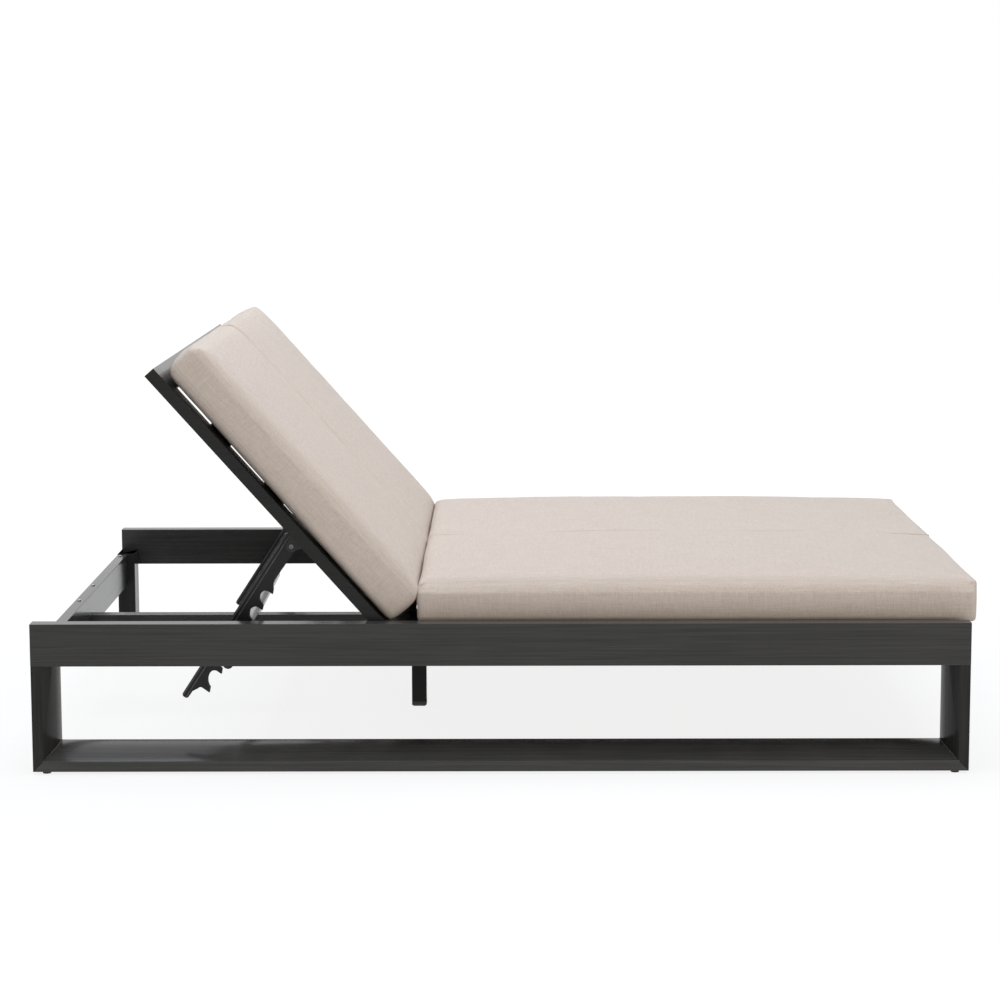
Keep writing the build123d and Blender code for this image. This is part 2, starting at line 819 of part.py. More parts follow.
def save_catch_rod():
    """Catch rod with its plugs, hangers and screws."""
    save("catch_rod", [catch_rod()])
    save("near_rod_hanger", [rod_hanger()])
    save("far_rod_hanger", [far(rod_hanger())])
    save("rod_plugs", [rod_plug(), far(rod_plug())])
    save("rod_screws", [rod_screw(), far(rod_screw())])
    screws = [hanger_screw(side) for side in (-1, 1)]
    save("hanger_screws", screws + [far(screw) for screw in screws])


# Cushions
cushion_y_span = (rail_inner_y + cushion_side_gap, -cushion_middle_gap / 2)


def cushion(x_span, z_low, height):
    """Box cushion with rounded upright corners and a rounded top and bottom."""
    pad = block(x_span, cushion_y_span, (z_low, z_low + height))
    pad = fillet(pad.edges().filter_by(Axis.Z), cushion_corner_radius)
    pad = fillet(pad.faces().sort_by(Axis.Z)[-1].edges(), cushion_edge_radius)
    return fillet(pad.faces().sort_by(Axis.Z)[0].edges(), cushion_bottom_edge_radius)


def save_cushions():
    """Two seat cushions and two back cushions."""
    seat_end = foot_x + foot_overhang
    span = (hinge_x + seat_cushion_hinge_gap, seat_end)
    seat = cushion(span, board_top, seat_cushion_height)
    save("near_seat_cushion", [seat])
    save("far_seat_cushion", [far(seat)])
    span = (back_top_x + back_cushion_top_inset, hinge_x - back_cushion_hinge_gap)
    back = raised(cushion(span, board_top + cushion_lift_gap, back_cushion_height))
    save("near_back_cushion", [back])
    save("far_back_cushion", [far(back)])


os.makedirs("parts", exist_ok=True)
save_side_frames()
save_middle()
save_seat()
save_backrest_boards()
save_arms()
save_catch_rod()
save_cushions()
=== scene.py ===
import json
import math

import bpy
import numpy as np
from mathutils import Matrix, Vector, noise


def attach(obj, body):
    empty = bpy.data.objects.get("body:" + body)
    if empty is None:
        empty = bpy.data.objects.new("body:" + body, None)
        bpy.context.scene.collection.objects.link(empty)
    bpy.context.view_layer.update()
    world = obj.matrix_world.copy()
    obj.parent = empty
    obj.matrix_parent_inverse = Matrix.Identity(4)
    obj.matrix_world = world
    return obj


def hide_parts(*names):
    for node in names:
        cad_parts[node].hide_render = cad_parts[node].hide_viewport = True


# Double chaise lounger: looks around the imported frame. Lengths are metres, the
# head end is at -X and the near side at -Y.
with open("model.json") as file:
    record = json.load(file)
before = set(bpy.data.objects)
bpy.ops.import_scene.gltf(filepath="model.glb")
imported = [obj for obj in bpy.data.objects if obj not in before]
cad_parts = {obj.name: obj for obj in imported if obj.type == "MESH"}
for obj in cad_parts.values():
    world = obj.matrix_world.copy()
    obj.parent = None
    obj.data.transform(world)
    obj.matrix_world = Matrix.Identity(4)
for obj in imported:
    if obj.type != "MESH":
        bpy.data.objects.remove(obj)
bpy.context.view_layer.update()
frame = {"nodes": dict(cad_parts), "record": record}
nodes = frame["nodes"]
scene = bpy.context.scene

HINGE = Vector((-0.2507, 0.0, 0.3003))
BACK_ANGLE = math.radians(48.3)
# Turns a cushion built lying flat up onto the backrest
RAISED = Matrix.Translation(HINGE) @ Matrix.Rotation(BACK_ANGLE, 4, "Y") @ Matrix.Translation(-HINGE)

WHITE = (1.0, 1.0, 1.0, 1.0)


def grey(value):
    return (value, value, value)


def add_object(name, data):
    made = bpy.data.objects.new(name, data)
    scene.collection.objects.link(made)
    return made


# Camera at the photograph's place
CAMERA_YAW = math.radians(-0.23)
CAMERA_PITCH = math.radians(7.81)
CAMERA_ROLL = math.radians(-0.14)
CAMERA_PLACE = (0.01518, -6.31354, 1.36076)
CAMERA_LENS = 96.70
CAMERA_SENSOR = 36.0
CAMERA_CLIP = (0.1, 100.0)


def add_camera():
    yaw, pitch, roll = CAMERA_YAW, CAMERA_PITCH, CAMERA_ROLL
    right = Vector((math.cos(yaw), -math.sin(yaw), 0))
    ahead = Vector((math.sin(yaw) * math.cos(pitch), math.cos(yaw) * math.cos(pitch), -math.sin(pitch)))
    up = right.cross(ahead)
    x_axis = right * math.cos(roll) + up * math.sin(roll)
    y_axis = up * math.cos(roll) - right * math.sin(roll)
    matrix = Matrix((x_axis, y_axis, -ahead)).transposed().to_4x4()
    matrix.translation = CAMERA_PLACE
    data = bpy.data.cameras.new("camera")
    data.sensor_width = CAMERA_SENSOR
    data.lens = CAMERA_LENS
    data.clip_start, data.clip_end = CAMERA_CLIP
    camera = add_object("camera", data)
    camera.matrix_world = matrix
    scene.camera = camera


# Node helpers
def material(name):
    """New material with an empty tree, and the object's own coordinates in it."""
    made = bpy.data.materials.new(name)
    made.use_nodes = True
    tree = made.node_tree
    tree.nodes.clear()
    return made, tree, node(tree, "ShaderNodeTexCoord").outputs["Object"]


def node(tree, kind, inputs=None, **settings):
    """New node: inputs are linked where they are sockets and set where they are values."""
    made = tree.nodes.new(kind)
    for key, value in settings.items():
        setattr(made, key, value)
    for key, value in (inputs or {}).items():
        if isinstance(value, bpy.types.NodeSocket):
            tree.links.new(value, made.inputs[key])
        else:
            made.inputs[key].default_value = value
    return made


def math_node(tree, operation, *values, clamp=False):
    inputs = dict(enumerate(values))
    return node(tree, "ShaderNodeMath", inputs, operation=operation, use_clamp=clamp).outputs[0]


def drawn_out(axis, along, across):
    """Noise scale with one value along an axis and another across it."""
    return tuple(along if a == axis else across for a in range(3))


def streaks(tree, source, scale, detail=3.0, turn=(0.0, 0.0, 0.0)):
    """Noise from 0 to 1; unequal scales draw it out along one direction."""
    if not isinstance(scale, tuple):
        scale = (scale, scale, scale)
    placed = node(tree, "ShaderNodeMapping", {"Vector": source, "Rotation": turn, "Scale": scale})
    inputs = {"Vector": placed.outputs[0], "Scale": 1.0, "Detail": detail, "Roughness": 0.6}
    return node(tree, "ShaderNodeTexNoise", inputs).outputs["Fac"]


def ramp(tree, factor, low, high):
    """Spreads factor from low..high to 0..1."""
    inputs = {"Value": factor, "From Min": low, "From Max": high}
    return node(tree, "ShaderNodeMapRange", inputs).outputs[0]


def weighted(tree, first, second, share):
    """Sum of two values, the first with the given share."""
    return math_node(
        tree, "ADD",
        math_node(tree, "MULTIPLY", first, share),
        math_node(tree, "MULTIPLY", second, 1 - share),
    )


def mixed(tree, factor, first, second):
    """Colour between two colours."""
    made = node(tree, "ShaderNodeMix", data_type="RGBA")
    tree.links.new(factor, made.inputs[0])
    made.inputs[6].default_value = (*first, 1.0)
    made.inputs[7].default_value = (*second, 1.0)
    return made.outputs[2]


def bump(tree, height, strength, distance):
    inputs = {"Height": height, "Strength": strength, "Distance": distance}
    return node(tree, "ShaderNodeBump", inputs).outputs[0]


def finish_shader(tree, settings):
    shader = node(tree, "ShaderNodeBsdfPrincipled", settings)
    out = node(tree, "ShaderNodeOutputMaterial")
    tree.links.new(shader.outputs[0], out.inputs["Surface"])


# Charcoal paint: noise scales along and across a member, shares and tones
PAINT_BROAD = (3.5, 260.0)
PAINT_FINE = (9.0, 1100.0)
PAINT_CLOUD = 5.0
PAINT_BROAD_SHARE = 0.6
PAINT_GRAIN_SHARE = 0.85
PAINT_SPREAD = (0.38, 0.62)
PAINT_LOW = (0.0380, 0.0374, 0.0356)
PAINT_HIGH = (0.0600, 0.0590, 0.0562)
PAINT_ROUGH = (0.15, 0.10)
PAINT_BUMP = (0.25, 0.0004)


def paint(name, along, turn=0.0, painted_light=1.0, gloss=0.17):
    """Paint with fine brushed streaks along a member; turn is about Y. Its colour scale stands for
    painted light and shade.
    """
    made, tree, source = material(name)
    turns = (0.0, turn, 0.0)
    broad = streaks(tree, source, drawn_out(along, *PAINT_BROAD), turn=turns)
    fine = streaks(tree, source, drawn_out(along, *PAINT_FINE), 2.0, turns)
    cloud = streaks(tree, source, PAINT_CLOUD, 2.0, turns)
    grain = weighted(tree, broad, fine, PAINT_BROAD_SHARE)
    tone = weighted(tree, grain, cloud, PAINT_GRAIN_SHARE)
    # Painted light and shade: the colour is scaled by this factor, making lighter or darker copies of
    # the one paint
    low, high = (tuple(v * painted_light for v in colour) for colour in (PAINT_LOW, PAINT_HIGH))
    finish_shader(tree, {
        "Base Color": mixed(tree, ramp(tree, tone, *PAINT_SPREAD), low, high),
        "Roughness": math_node(tree, "MULTIPLY_ADD", grain, *PAINT_ROUGH),
        "Specular IOR Level": gloss,
        "Normal": bump(tree, grain, *PAINT_BUMP),
    })
    return made


# Plastic and bare metal: the part of the noise that colours them, their bump
# and how much the noise adds to their roughness
MOTTLE_SPREAD = (0.35, 0.65)
PLASTIC_CLOUD = 18.0
PLASTIC_BUMP = (0.25, 0.0002)
PLASTIC_ROUGH_ADDED = 0.2
METAL_BUMP = (0.2, 0.0002)
METAL_ROUGH_ADDED = 0.25


def plastic(name, low, high, rough, scale):
    """Moulded plastic with a fine grain."""
    made, tree, source = material(name)
    grain = streaks(tree, source, scale, 2.0)
    cloud = streaks(tree, source, PLASTIC_CLOUD, 2.0)
    finish_shader(tree, {
        "Base Color": mixed(tree, ramp(tree, cloud, *MOTTLE_SPREAD), low, high),
        "Roughness": math_node(tree, "MULTIPLY_ADD", cloud, PLASTIC_ROUGH_ADDED, rough),
        "Specular IOR Level": 0.55,
        "Normal": bump(tree, grain, *PLASTIC_BUMP),
    })
    return made


def metal(name, low, high, rough, scale):
    """Bare metal with fine turning marks."""
    made, tree, source = material(name)
    grain = streaks(tree, source, scale)
    finish_shader(tree, {
        "Base Color": mixed(tree, ramp(tree, grain, *MOTTLE_SPREAD), low, high),
        "Metallic": 1.0,
        "Roughness": math_node(tree, "MULTIPLY_ADD", grain, METAL_ROUGH_ADDED, rough),
        "Normal": bump(tree, grain, *METAL_BUMP),
    })
    return made


# Support arm at rest: its pivot (X, Z) and tilt, the straight back edge that its
# two ribs follow (offset and slope from a start along the arm), how far inside
# that edge each rib lies, and the distances over which a rib's painted highlight fades
ARM_PIVOT = (-0.45806, 0.47516)
ARM_TILT = math.radians(54.8)
ARM_EDGE_OFFSET = -0.0270
ARM_EDGE_SLOPE = 0.0165 / 0.428
ARM_EDGE_START = 0.020
RIB_INSETS = (0.0028, 0.0108)
RIB_FADE = (0.0007, 0.0017)
ARM_CLOUD = 60.0
ARM_GRAIN = 900.0
# Noise range and colour of the painted highlight on the ribs
ARM_HIGHLIGHT_SPREAD = (0.10, 0.62)
ARM_BODY = (0.006, 0.006, 0.006)
ARM_HIGHLIGHT_COLOUR = (0.115, 0.115, 0.113)
ARM_ROUGH = 0.30


def arm_plastic(name):
    """Dark moulded plastic whose two raised ribs carry a painted highlight, patchy by noise."""
    made, tree, source = material(name)
    place = node(tree, "ShaderNodeSeparateXYZ", {0: source}).outputs
    x = math_node(tree, "SUBTRACT", place[0], ARM_PIVOT[0])
    z = math_node(tree, "SUBTRACT", place[2], ARM_PIVOT[1])
    s, c = math.sin(ARM_TILT), math.cos(ARM_TILT)
    across = math_node(
        tree, "SUBTRACT", math_node(tree, "MULTIPLY", x, s), math_node(tree, "MULTIPLY", z, c),
    )
    back = math_node(tree, "ADD", math_node(tree, "MULTIPLY", x, c), math_node(tree, "MULTIPLY", z, s))
    along = math_node(tree, "SUBTRACT", ARM_EDGE_START, back)
    edge = math_node(tree, "ADD", math_node(tree, "MULTIPLY", along, ARM_EDGE_SLOPE), ARM_EDGE_OFFSET)
    inset = math_node(tree, "SUBTRACT", across, edge)
    masks = []
    for rib in RIB_INSETS:
        gap = math_node(tree, "ABSOLUTE", math_node(tree, "SUBTRACT", inset, rib))
        masks.append(math_node(tree, "SUBTRACT", 1.0, ramp(tree, gap, *RIB_FADE)))
    cloud = streaks(tree, source, ARM_CLOUD)
    highlight_patches = ramp(tree, cloud, *ARM_HIGHLIGHT_SPREAD)
    # Painted highlight: the ribs are coloured lighter, in patches from the noise, to stand in for the
    # light they catch
    painted_rib_highlight = math_node(tree, "MULTIPLY", math_node(tree, "MAXIMUM", *masks), highlight_patches)
    grain = streaks(tree, source, ARM_GRAIN, 2.0)
    finish_shader(tree, {
        "Base Color": mixed(tree, painted_rib_highlight, ARM_BODY, ARM_HIGHLIGHT_COLOUR),
        "Roughness": math_node(tree, "MULTIPLY_ADD", cloud, PLASTIC_ROUGH_ADDED, ARM_ROUGH),
        "Specular IOR Level": 0.30,
        "Normal": bump(tree, grain, *PLASTIC_BUMP),
    })
    return made


# Slubbed weave: noise scales along and across a thread, the range of the three
# threads' sum, tones, and the pitch of the fine over-and-under
THREAD = (22.0, 420.0)
SLUB_SPREAD = (1.05, 1.95)
SLUB_SHARE = 0.85
WEAVE_CLOUD = 7.0
WEAVE_LOW = (0.540, 0.452, 0.385)
WEAVE_HIGH = (0.720, 0.622, 0.548)
WEAVE_PITCH = 0.0017
WEAVE_SLUB_HEIGHT = 2.0
WEAVE_WAVE_HEIGHT = 0.35
WEAVE_BUMP = (0.45, 0.0004)


def fabric(name):
    """Woven cover with threads along all three directions of the cushion."""
    made, tree, source = material(name)
    threads = [streaks(tree, source, drawn_out(axis, *THREAD), 2.0) for axis in range(3)]
    total = math_node(tree, "ADD", math_node(tree, "ADD", threads[0], threads[1]), threads[2])
    slub = ramp(tree, total, *SLUB_SPREAD)
    cloud = math_node(tree, "MULTIPLY", streaks(tree, source, WEAVE_CLOUD), 1 - SLUB_SHARE)
    tone = math_node(tree, "MULTIPLY_ADD", slub, SLUB_SHARE, cloud)

    # Each direction's waves fade out where the surface faces along it
    place = node(tree, "ShaderNodeSeparateXYZ", {0: source}).outputs
    facing = node(tree, "ShaderNodeSeparateXYZ", {0: source.node.outputs["Normal"]}).outputs
    waves = []
    for axis in range(3):
        phase = math_node(tree, "MULTIPLY", place[axis], 2 * math.pi / WEAVE_PITCH)
        across = math_node(tree, "SUBTRACT", 1.0, math_node(tree, "ABSOLUTE", facing[axis]), clamp=True)
        waves.append(math_node(tree, "MULTIPLY", math_node(tree, "SINE", phase), across))
    weave = math_node(tree, "ADD", math_node(tree, "ADD", waves[0], waves[1]), waves[2])
    weave = math_node(tree, "MULTIPLY", weave, WEAVE_WAVE_HEIGHT)
    height = math_node(tree, "MULTIPLY_ADD", slub, WEAVE_SLUB_HEIGHT, weave)
    finish_shader(tree, {
        "Base Color": mixed(tree, tone, WEAVE_LOW, WEAVE_HIGH),
        "Roughness": 0.92,
        "Specular IOR Level": 0.2,
        "Sheen Weight": 0.10,
        "Sheen Roughness": 0.5,
        "Sheen Tint": WHITE,
        "Normal": bump(tree, height, *WEAVE_BUMP),
    })
    return made


# The frame's members share one charcoal paint; the low rails are a lighter copy as painted light, and
# the posts, the leg and the back stiles darker copies as painted shade.
MATERIALS = {
    "along_x": paint("paint_along_x", 0),
    "low_rail": paint("paint_low_rail", 0, painted_light=1.35),
    "along_y": paint("paint_along_y", 1),
    "along_z": paint("paint_along_z", 2, painted_light=0.75, gloss=0.03),
    "leg": paint("paint_leg", 2, painted_light=0.12),
    "along_back": paint("paint_along_back", 0, turn=-BACK_ANGLE, painted_light=0.34),
    "arm": arm_plastic("arm_plastic_grain"),
    "black": plastic("black_plastic_grain", grey(0.012), grey(0.022), rough=0.42, scale=700.0),
    "rod": metal("rod_metal_grain", grey(0.42), grey(0.58), rough=0.28, scale=drawn_out(1, 12.0, 700.0)),
    "steel": metal("steel_grain", (0.46, 0.46, 0.45), (0.60, 0.60, 0.59), rough=0.22, scale=600.0),
    "weld": plastic(
        "weld_paint_grain", (0.075, 0.074, 0.070), (0.120, 0.118, 0.112), rough=0.35, scale=500.0,
    ),
    "pin_steel": metal("pin_steel_grain", grey(0.14), grey(0.22), rough=0.35, scale=600.0),
    "dark_steel": metal("dark_steel_grain", grey(0.03), grey(0.06), rough=0.40, scale=600.0),
    "fabric": fabric("cushion_weave"),
}
# First word found in a node's name decides, for fasteners and for painted nodes
FASTENER_LOOKS = {"rod_screws": "dark_steel", "pivot_pins": "pin_steel"}
PAINTED_LOOKS = {
    "back_stile": "along_back",
    "knuckle": "along_back",
    "leg": "leg",
    "bottom_rail": "low_rail",
    "cross_rail": "along_y",
    "slat": "along_y",
    "post": "along_z",
}
SLOT_LOOKS = {
    "frame_paint": "along_x",
    "arm_plastic": "arm",
    "black_plastic": "black",
    "rod_metal": "rod",
    "steel": "steel",
    "cushion_fabric": "fabric",
}

# Width and segments of the softened edges
EDGES = (0.0012, 2)
EDGES_BY_LOOK = {
    "arm": (0.0010, 3),
    "black": (0.0005, 3),
    "steel": (0.0005, 3),
    "pin_steel": (0.0005, 3),
    "dark_steel": (0.0005, 3),
}
EDGE_ANGLE = math.radians(35)
FLAT_ANGLE = math.radians(0.5)
WELD_DISTANCE = 0.00002


def look_of(name, slot):
    """Which material a CAD node gets."""
    words = FASTENER_LOOKS if slot != "frame_paint" else {**FASTENER_LOOKS, **PAINTED_LOOKS}
    return next((look for word, look in words.items() if word in name), SLOT_LOOKS[slot])


def dress_node(obj, look):
    """Procedural material and softened edges on a CAD node; its own mesh stays."""
    obj.data.materials.clear()
    obj.data.materials.append(MATERIALS[look])
    obj.modifiers.new("weld", "WELD").merge_threshold = WELD_DISTANCE
    plain = obj.modifiers.new("plain", "DECIMATE")
    plain.decimate_type, plain.angle_limit = "DISSOLVE", FLAT_ANGLE
    edge = obj.modifiers.new("edges", "BEVEL")
    edge.width, edge.segments = EDGES_BY_LOOK.get(look, EDGES)
    edge.limit_method, edge.angle_limit = "ANGLE", EDGE_ANGLE
    obj.modifiers.new("normals", "WEIGHTED_NORMAL")


def dress_nodes():
    slots = {part["node"]: part["material_slot"] for part in frame["record"]["subparts"]}
    for name, obj in nodes.items():
        dress_node(obj, look_of(name, slots[name]))


# Mesh helpers
KEPT_ROOM = 0.45         # share of a grid step kept free beside a kept grid line


def get_values(mesh, attribute):
    """Coordinates ("co") or normals ("normal") of a mesh's vertices."""
    values = np.zeros(len(mesh.vertices) * 3, np.float32)
    mesh.vertices.foreach_get(attribute, values)
    return values.reshape(-1, 3).astype(float)


def set_points(mesh, points):
    mesh.vertices.foreach_set("co", points.astype(np.float32).ravel())
    mesh.update()


def smooth_shading(mesh):
    mesh.polygons.foreach_set("use_smooth", np.ones(len(mesh.polygons), bool))


def evaluated(obj):
    return obj.evaluated_get(bpy.context.evaluated_depsgraph_get())


def refine(obj):
    """Applies one level of subdivision."""
    obj.modifiers.new("smooth", "SUBSURF").levels = 1
    finer = bpy.data.meshes.new_from_object(evaluated(obj))
    obj.modifiers.clear()
    obj.data = finer
    return finer


def lines(low, high, step, keep):
    """Evenly spaced grid lines with the kept ones put in and their neighbours left out."""
    count = max(2, round((high - low) / step))
    even = [low + (high - low) * i / count for i in range(count + 1)]
    clear = [v for v in even if all(abs(v - k) > step * KEPT_ROOM for k in keep)]
    return sorted(set(clear) | set(keep) | {low, high})


def box_grid(name, *axes):
    """Closed box surface with the given grid lines along X, Y and Z."""
    last = [len(a) - 1 for a in axes]
    index, points, faces = {}, [], []

    def corner(key):
        if key not in index:
            index[key] = len(points)
            points.append(tuple(axes[a][key[a]] for a in range(3)))
        return index[key]

    for axis in range(3):
        u, v = (axis + 1) % 3, (axis + 2) % 3
        for side in (0, last[axis]):
            for i in range(last[u]):
                for j in range(last[v]):
                    quad = []
                    for a, b in ((0, 0), (1, 0), (1, 1), (0, 1)):
                        key = [0, 0, 0]
                        key[axis], key[u], key[v] = side, i + a, j + b
                        quad.append(corner(tuple(key)))
                    faces.append(quad if side else quad[::-1])
    mesh = bpy.data.meshes.new(name)
    mesh.from_pydata(points, [], faces)
    mesh.update()
    return mesh


# Cushion shape. A cushion is built with its head, near and low corner at the
# origin, and its far side faces its twin.
GRID_STEPS = (0.010, 0.010, 0.009)
GRID_BESIDE_SEAM = (-0.003, 0.0, 0.003)
GRID_INSIDE_EDGE = (0.0012, 0.003)
SEAM_SNAP = 0.0005       # a point this near a seam's height lies on it
FACING = 0.7             # from here on a point counts as on that side
TIGHT_HEAD = 0.4         # the near top edge is tight over this length from the head
TIGHT_FOOT = 0.09        # and over this length from the foot
CROWN_RISE = (0.55, 0.45)
CROWN_FALL = 9           # powers by which crown and bulge fade to their ends
BULGE_END_FALL = 8
BULGE_SIDE_FALL = 4
BULGE_REACH = 0.02
PULL_IN = 0.002          # how far the rims of the sides pull in
LIFTED_LENGTH = 0.8      # where the underside is lifted: share of the length,
LIFTED_WIDTH = 0.20      # distance from the near side, and share of the height
LIFTED_HEIGHT = 0.3
TINY = 1e-9


def smooth_step(t):
    t = np.clip(t, 0.0, 1.0)
    return t * t * (3 - 2 * t)


def outline_of(points, size, corner):
    """Depth inside a rounded rectangle and the outward direction, for each point."""
    half = np.array(size[:2]) / 2
    offset = points[:, :2] - half
    q = np.abs(offset) - (half - corner)
    outside = np.maximum(q, 0)
    reach = np.linalg.norm(outside, axis=1)
    depth = corner - reach - np.minimum(q.max(axis=1), 0)
    inner = np.where((q[:, :1] > q[:, 1:]), (1.0, 0.0), (0.0, 1.0))
    direction = np.where(reach[:, None] > TINY, outside / np.maximum(reach, TINY)[:, None], inner)
    return depth, direction * np.sign(offset)


def by_side(direction, head, foot, near, far):
    """Value of each point from the values of the four sides."""
    ends = np.where(direction[:, 0] < 0, head, foot)
    flanks = np.where(direction[:, 1] < 0, near, far)
    return ends * direction[:, 0] ** 2 + flanks * direction[:, 1] ** 2


def round_edges(points, size, look, direction, depth):
    """How far each point moves outward and down to round the top and low edges."""
    level = points[:, 2] / size[2]
    head, foot, near, far = look["top"]
    wide = smooth_step(points[:, 0] / TIGHT_HEAD) * smooth_step((size[0] - points[:, 0]) / TIGHT_FOOT)
    near = near * (look["tight"] + (1 - look["tight"]) * wide)
    power = 2 - look["crisp"] * (1 - wide) * (direction[:, 1] < -FACING) * (level > 0.5)
    top, low = by_side(direction, head, foot, near, far), by_side(direction, *look["low"])
    radius = np.where(level > 0.5, top, low)
    drop = np.where(level > 0.5, size[2] - points[:, 2], points[:, 2])
    away = np.column_stack((np.minimum(depth - radius, 0), np.minimum(drop - radius, 0)))
    reach = np.maximum((np.abs(away) ** power[:, None]).sum(axis=1) ** (1 / power), TINY)
    cut = away * (1 - np.minimum(1.0, radius / reach))[:, None]
    return cut[:, :1], np.where(level > 0.5, -cut[:, 1], cut[:, 1])


def pad_shape(points, size, look):
    """Rounds the box side by side, crowns its top, bows its sides and lifts its underside."""
    shaped = points.copy()
    depth, direction = outline_of(points, size, look["corner"])
    shaped[:, :2] += direction * np.minimum(depth, 0)[:, None]
    depth = np.maximum(depth, 0)
    outward, downward = round_edges(points, size, look, direction, depth)
    shaped[:, :2] += direction * outward
    shaped[:, 2] -= downward

    level = points[:, 2] / size[2]
    u, v = shaped[:, 0] / size[0] * 2 - 1, shaped[:, 1] / size[1] * 2 - 1
    lift = smooth_step((level - CROWN_RISE[0]) / CROWN_RISE[1])
    swell = (1 - np.abs(u) ** look["swell"]) * (1 - np.abs(np.minimum(v, 0)) ** CROWN_FALL)
    shaped[:, 2] += look["crown"] * swell * lift

    toward_head = np.clip(1 - shaped[:, 0] / (LIFTED_LENGTH * size[0]), 0, 1)
    beside = np.clip(1 - shaped[:, 1] / LIFTED_WIDTH, 0, 1) ** 2
    shaped[:, 2] += look["raised"] * toward_head * beside * (level < LIFTED_HEIGHT)

    edge = np.exp(-depth / BULGE_REACH)
    belly = (1 - (level * 2 - 1) ** 2) * by_side(direction, *look["bulge"])
    at_end = np.abs(direction[:, 0]) > FACING
    along = np.where(at_end, 1 - np.minimum(v, 0) ** BULGE_END_FALL, 1 - u ** BULGE_SIDE_FALL)
    pull = PULL_IN * np.abs(level * 2 - 1) * by_side(direction, 1, 1, 1, 0)
    shaped[:, :2] += direction * (edge * along * (belly - pull))[:, None]
    return shaped


# Cloth simulation of a cushion's cover
CLOTH_STEPS = 20
CLOTH_QUALITY = 5
CLOTH_MASS = 0.3
CLOTH_PRESSURE = 4.0
PANEL_SHRINK = -0.020    # a negative shrink cuts the panels larger; seams keep theirs
SEAM_SHRINK = 0.0
MOVE_CAP = 0.004


def inflate(obj, seam):
    """Cloth simulation: the panels are cut a little large and puff between the seams."""
    obj.vertex_groups.new(name="seam").add(np.nonzero(seam)[0].tolist(), 1.0, "REPLACE")
    start = get_values(obj.data, "co")
    cloth = obj.modifiers.new("cloth", "CLOTH")
    cloth.point_cache.frame_start, cloth.point_cache.frame_end = 1, CLOTH_STEPS
    settings = cloth.settings
    settings.quality = CLOTH_QUALITY
    settings.mass = CLOTH_MASS
    settings.use_pressure = True
    settings.uniform_pressure_force = CLOTH_PRESSURE
    settings.vertex_group_shrink = "seam"
    settings.shrink_min, settings.shrink_max = PANEL_SHRINK, SEAM_SHRINK
    settings.effector_weights.gravity = 0.0
    for number in range(1, CLOTH_STEPS + 1):
        scene.frame_set(number)
    moved = get_values(evaluated(obj).data, "co") - start
    obj.modifiers.remove(cloth)
    scene.frame_set(1)
    far = np.linalg.norm(moved, axis=1)
    share = np.tanh(far / MOVE_CAP) * MOVE_CAP / np.maximum(far, TINY)
    set_points(obj.data, start + moved * share[:, None])


def fit_box(mesh, low, high):
    """Stretches a mesh onto its box."""
    points = get_values(mesh, "co")
    least, most = points.min(axis=0), points.max(axis=0)
    low, high = np.array(low), np.array(high)
    set_points(mesh, low + (points - least) * (high - low) / (most - least))


# Seams and creases: heights of the moves, noise scales, and the distances over
# which they fade
GROOVE_DEPTH = 0.0009
GROOVE_WIDTH = 0.0022
GROOVE_AT_FOOT = 0.45    # share of the groove's depth that is left away from the head
GROOVE_FADE = 0.12
GATHER_HEIGHT = 0.0011
GATHER_SCALE = (75.0, 16.0)
GATHER_FADE = 0.013
RIM_FADE = 0.012
SLACK_HEIGHT, SLACK_SCALE, SLACK_PLACE = 0.0016, 4.5, (3.1, 0.7)
RIPPLE_HEIGHT, RIPPLE_SCALE, RIPPLE_PLACE = 0.0005, 13.0, (0.3, 5.2)


def noise_at(points, scale, place):
    return np.array([noise.noise(Vector(p) * scale + Vector(place)) for p in points])


def pucker(mesh, look):
    """Seam grooves, short gathers beside them and the slack of a filled cover."""
    points, normals = get_values(mesh, "co"), get_values(mesh, "normal")
    low, high = points.min(axis=0), points.max(axis=0)
    depth, direction = outline_of(points - low, high - low, look["corner"])
    rim = np.exp(-np.maximum(depth, 0) / RIM_FADE)
    gap = np.min([np.abs(points[:, 2] - low[2] - level) for level in look["seams"]], axis=0)
    groove = np.exp(-(gap / GROOVE_WIDTH) ** 2) * rim
    tired = GROOVE_AT_FOOT + (1 - GROOVE_AT_FOOT) * np.exp(-(points[:, 0] - low[0]) / GROOVE_FADE)
    around = np.where(np.abs(direction[:, 0]) > FACING, points[:, 1], points[:, 0])
    seed = look["seed"]
    gather = np.array([
        noise.noise((a * GATHER_SCALE[0], g * GATHER_SCALE[1], seed)) for a, g in zip(around, gap)
    ])
    slack = noise_at(points, SLACK_SCALE, (seed, *SLACK_PLACE))
    ripple = noise_at(points, RIPPLE_SCALE, (RIPPLE_PLACE[0], seed, RIPPLE_PLACE[1]))
    move = -GROOVE_DEPTH * groove * tired + GATHER_HEIGHT * gather * np.exp(-gap / GATHER_FADE) * rim
    move = move + SLACK_HEIGHT * slack + RIPPLE_HEIGHT * ripple
    set_points(mesh, points + normals * move[:, None])


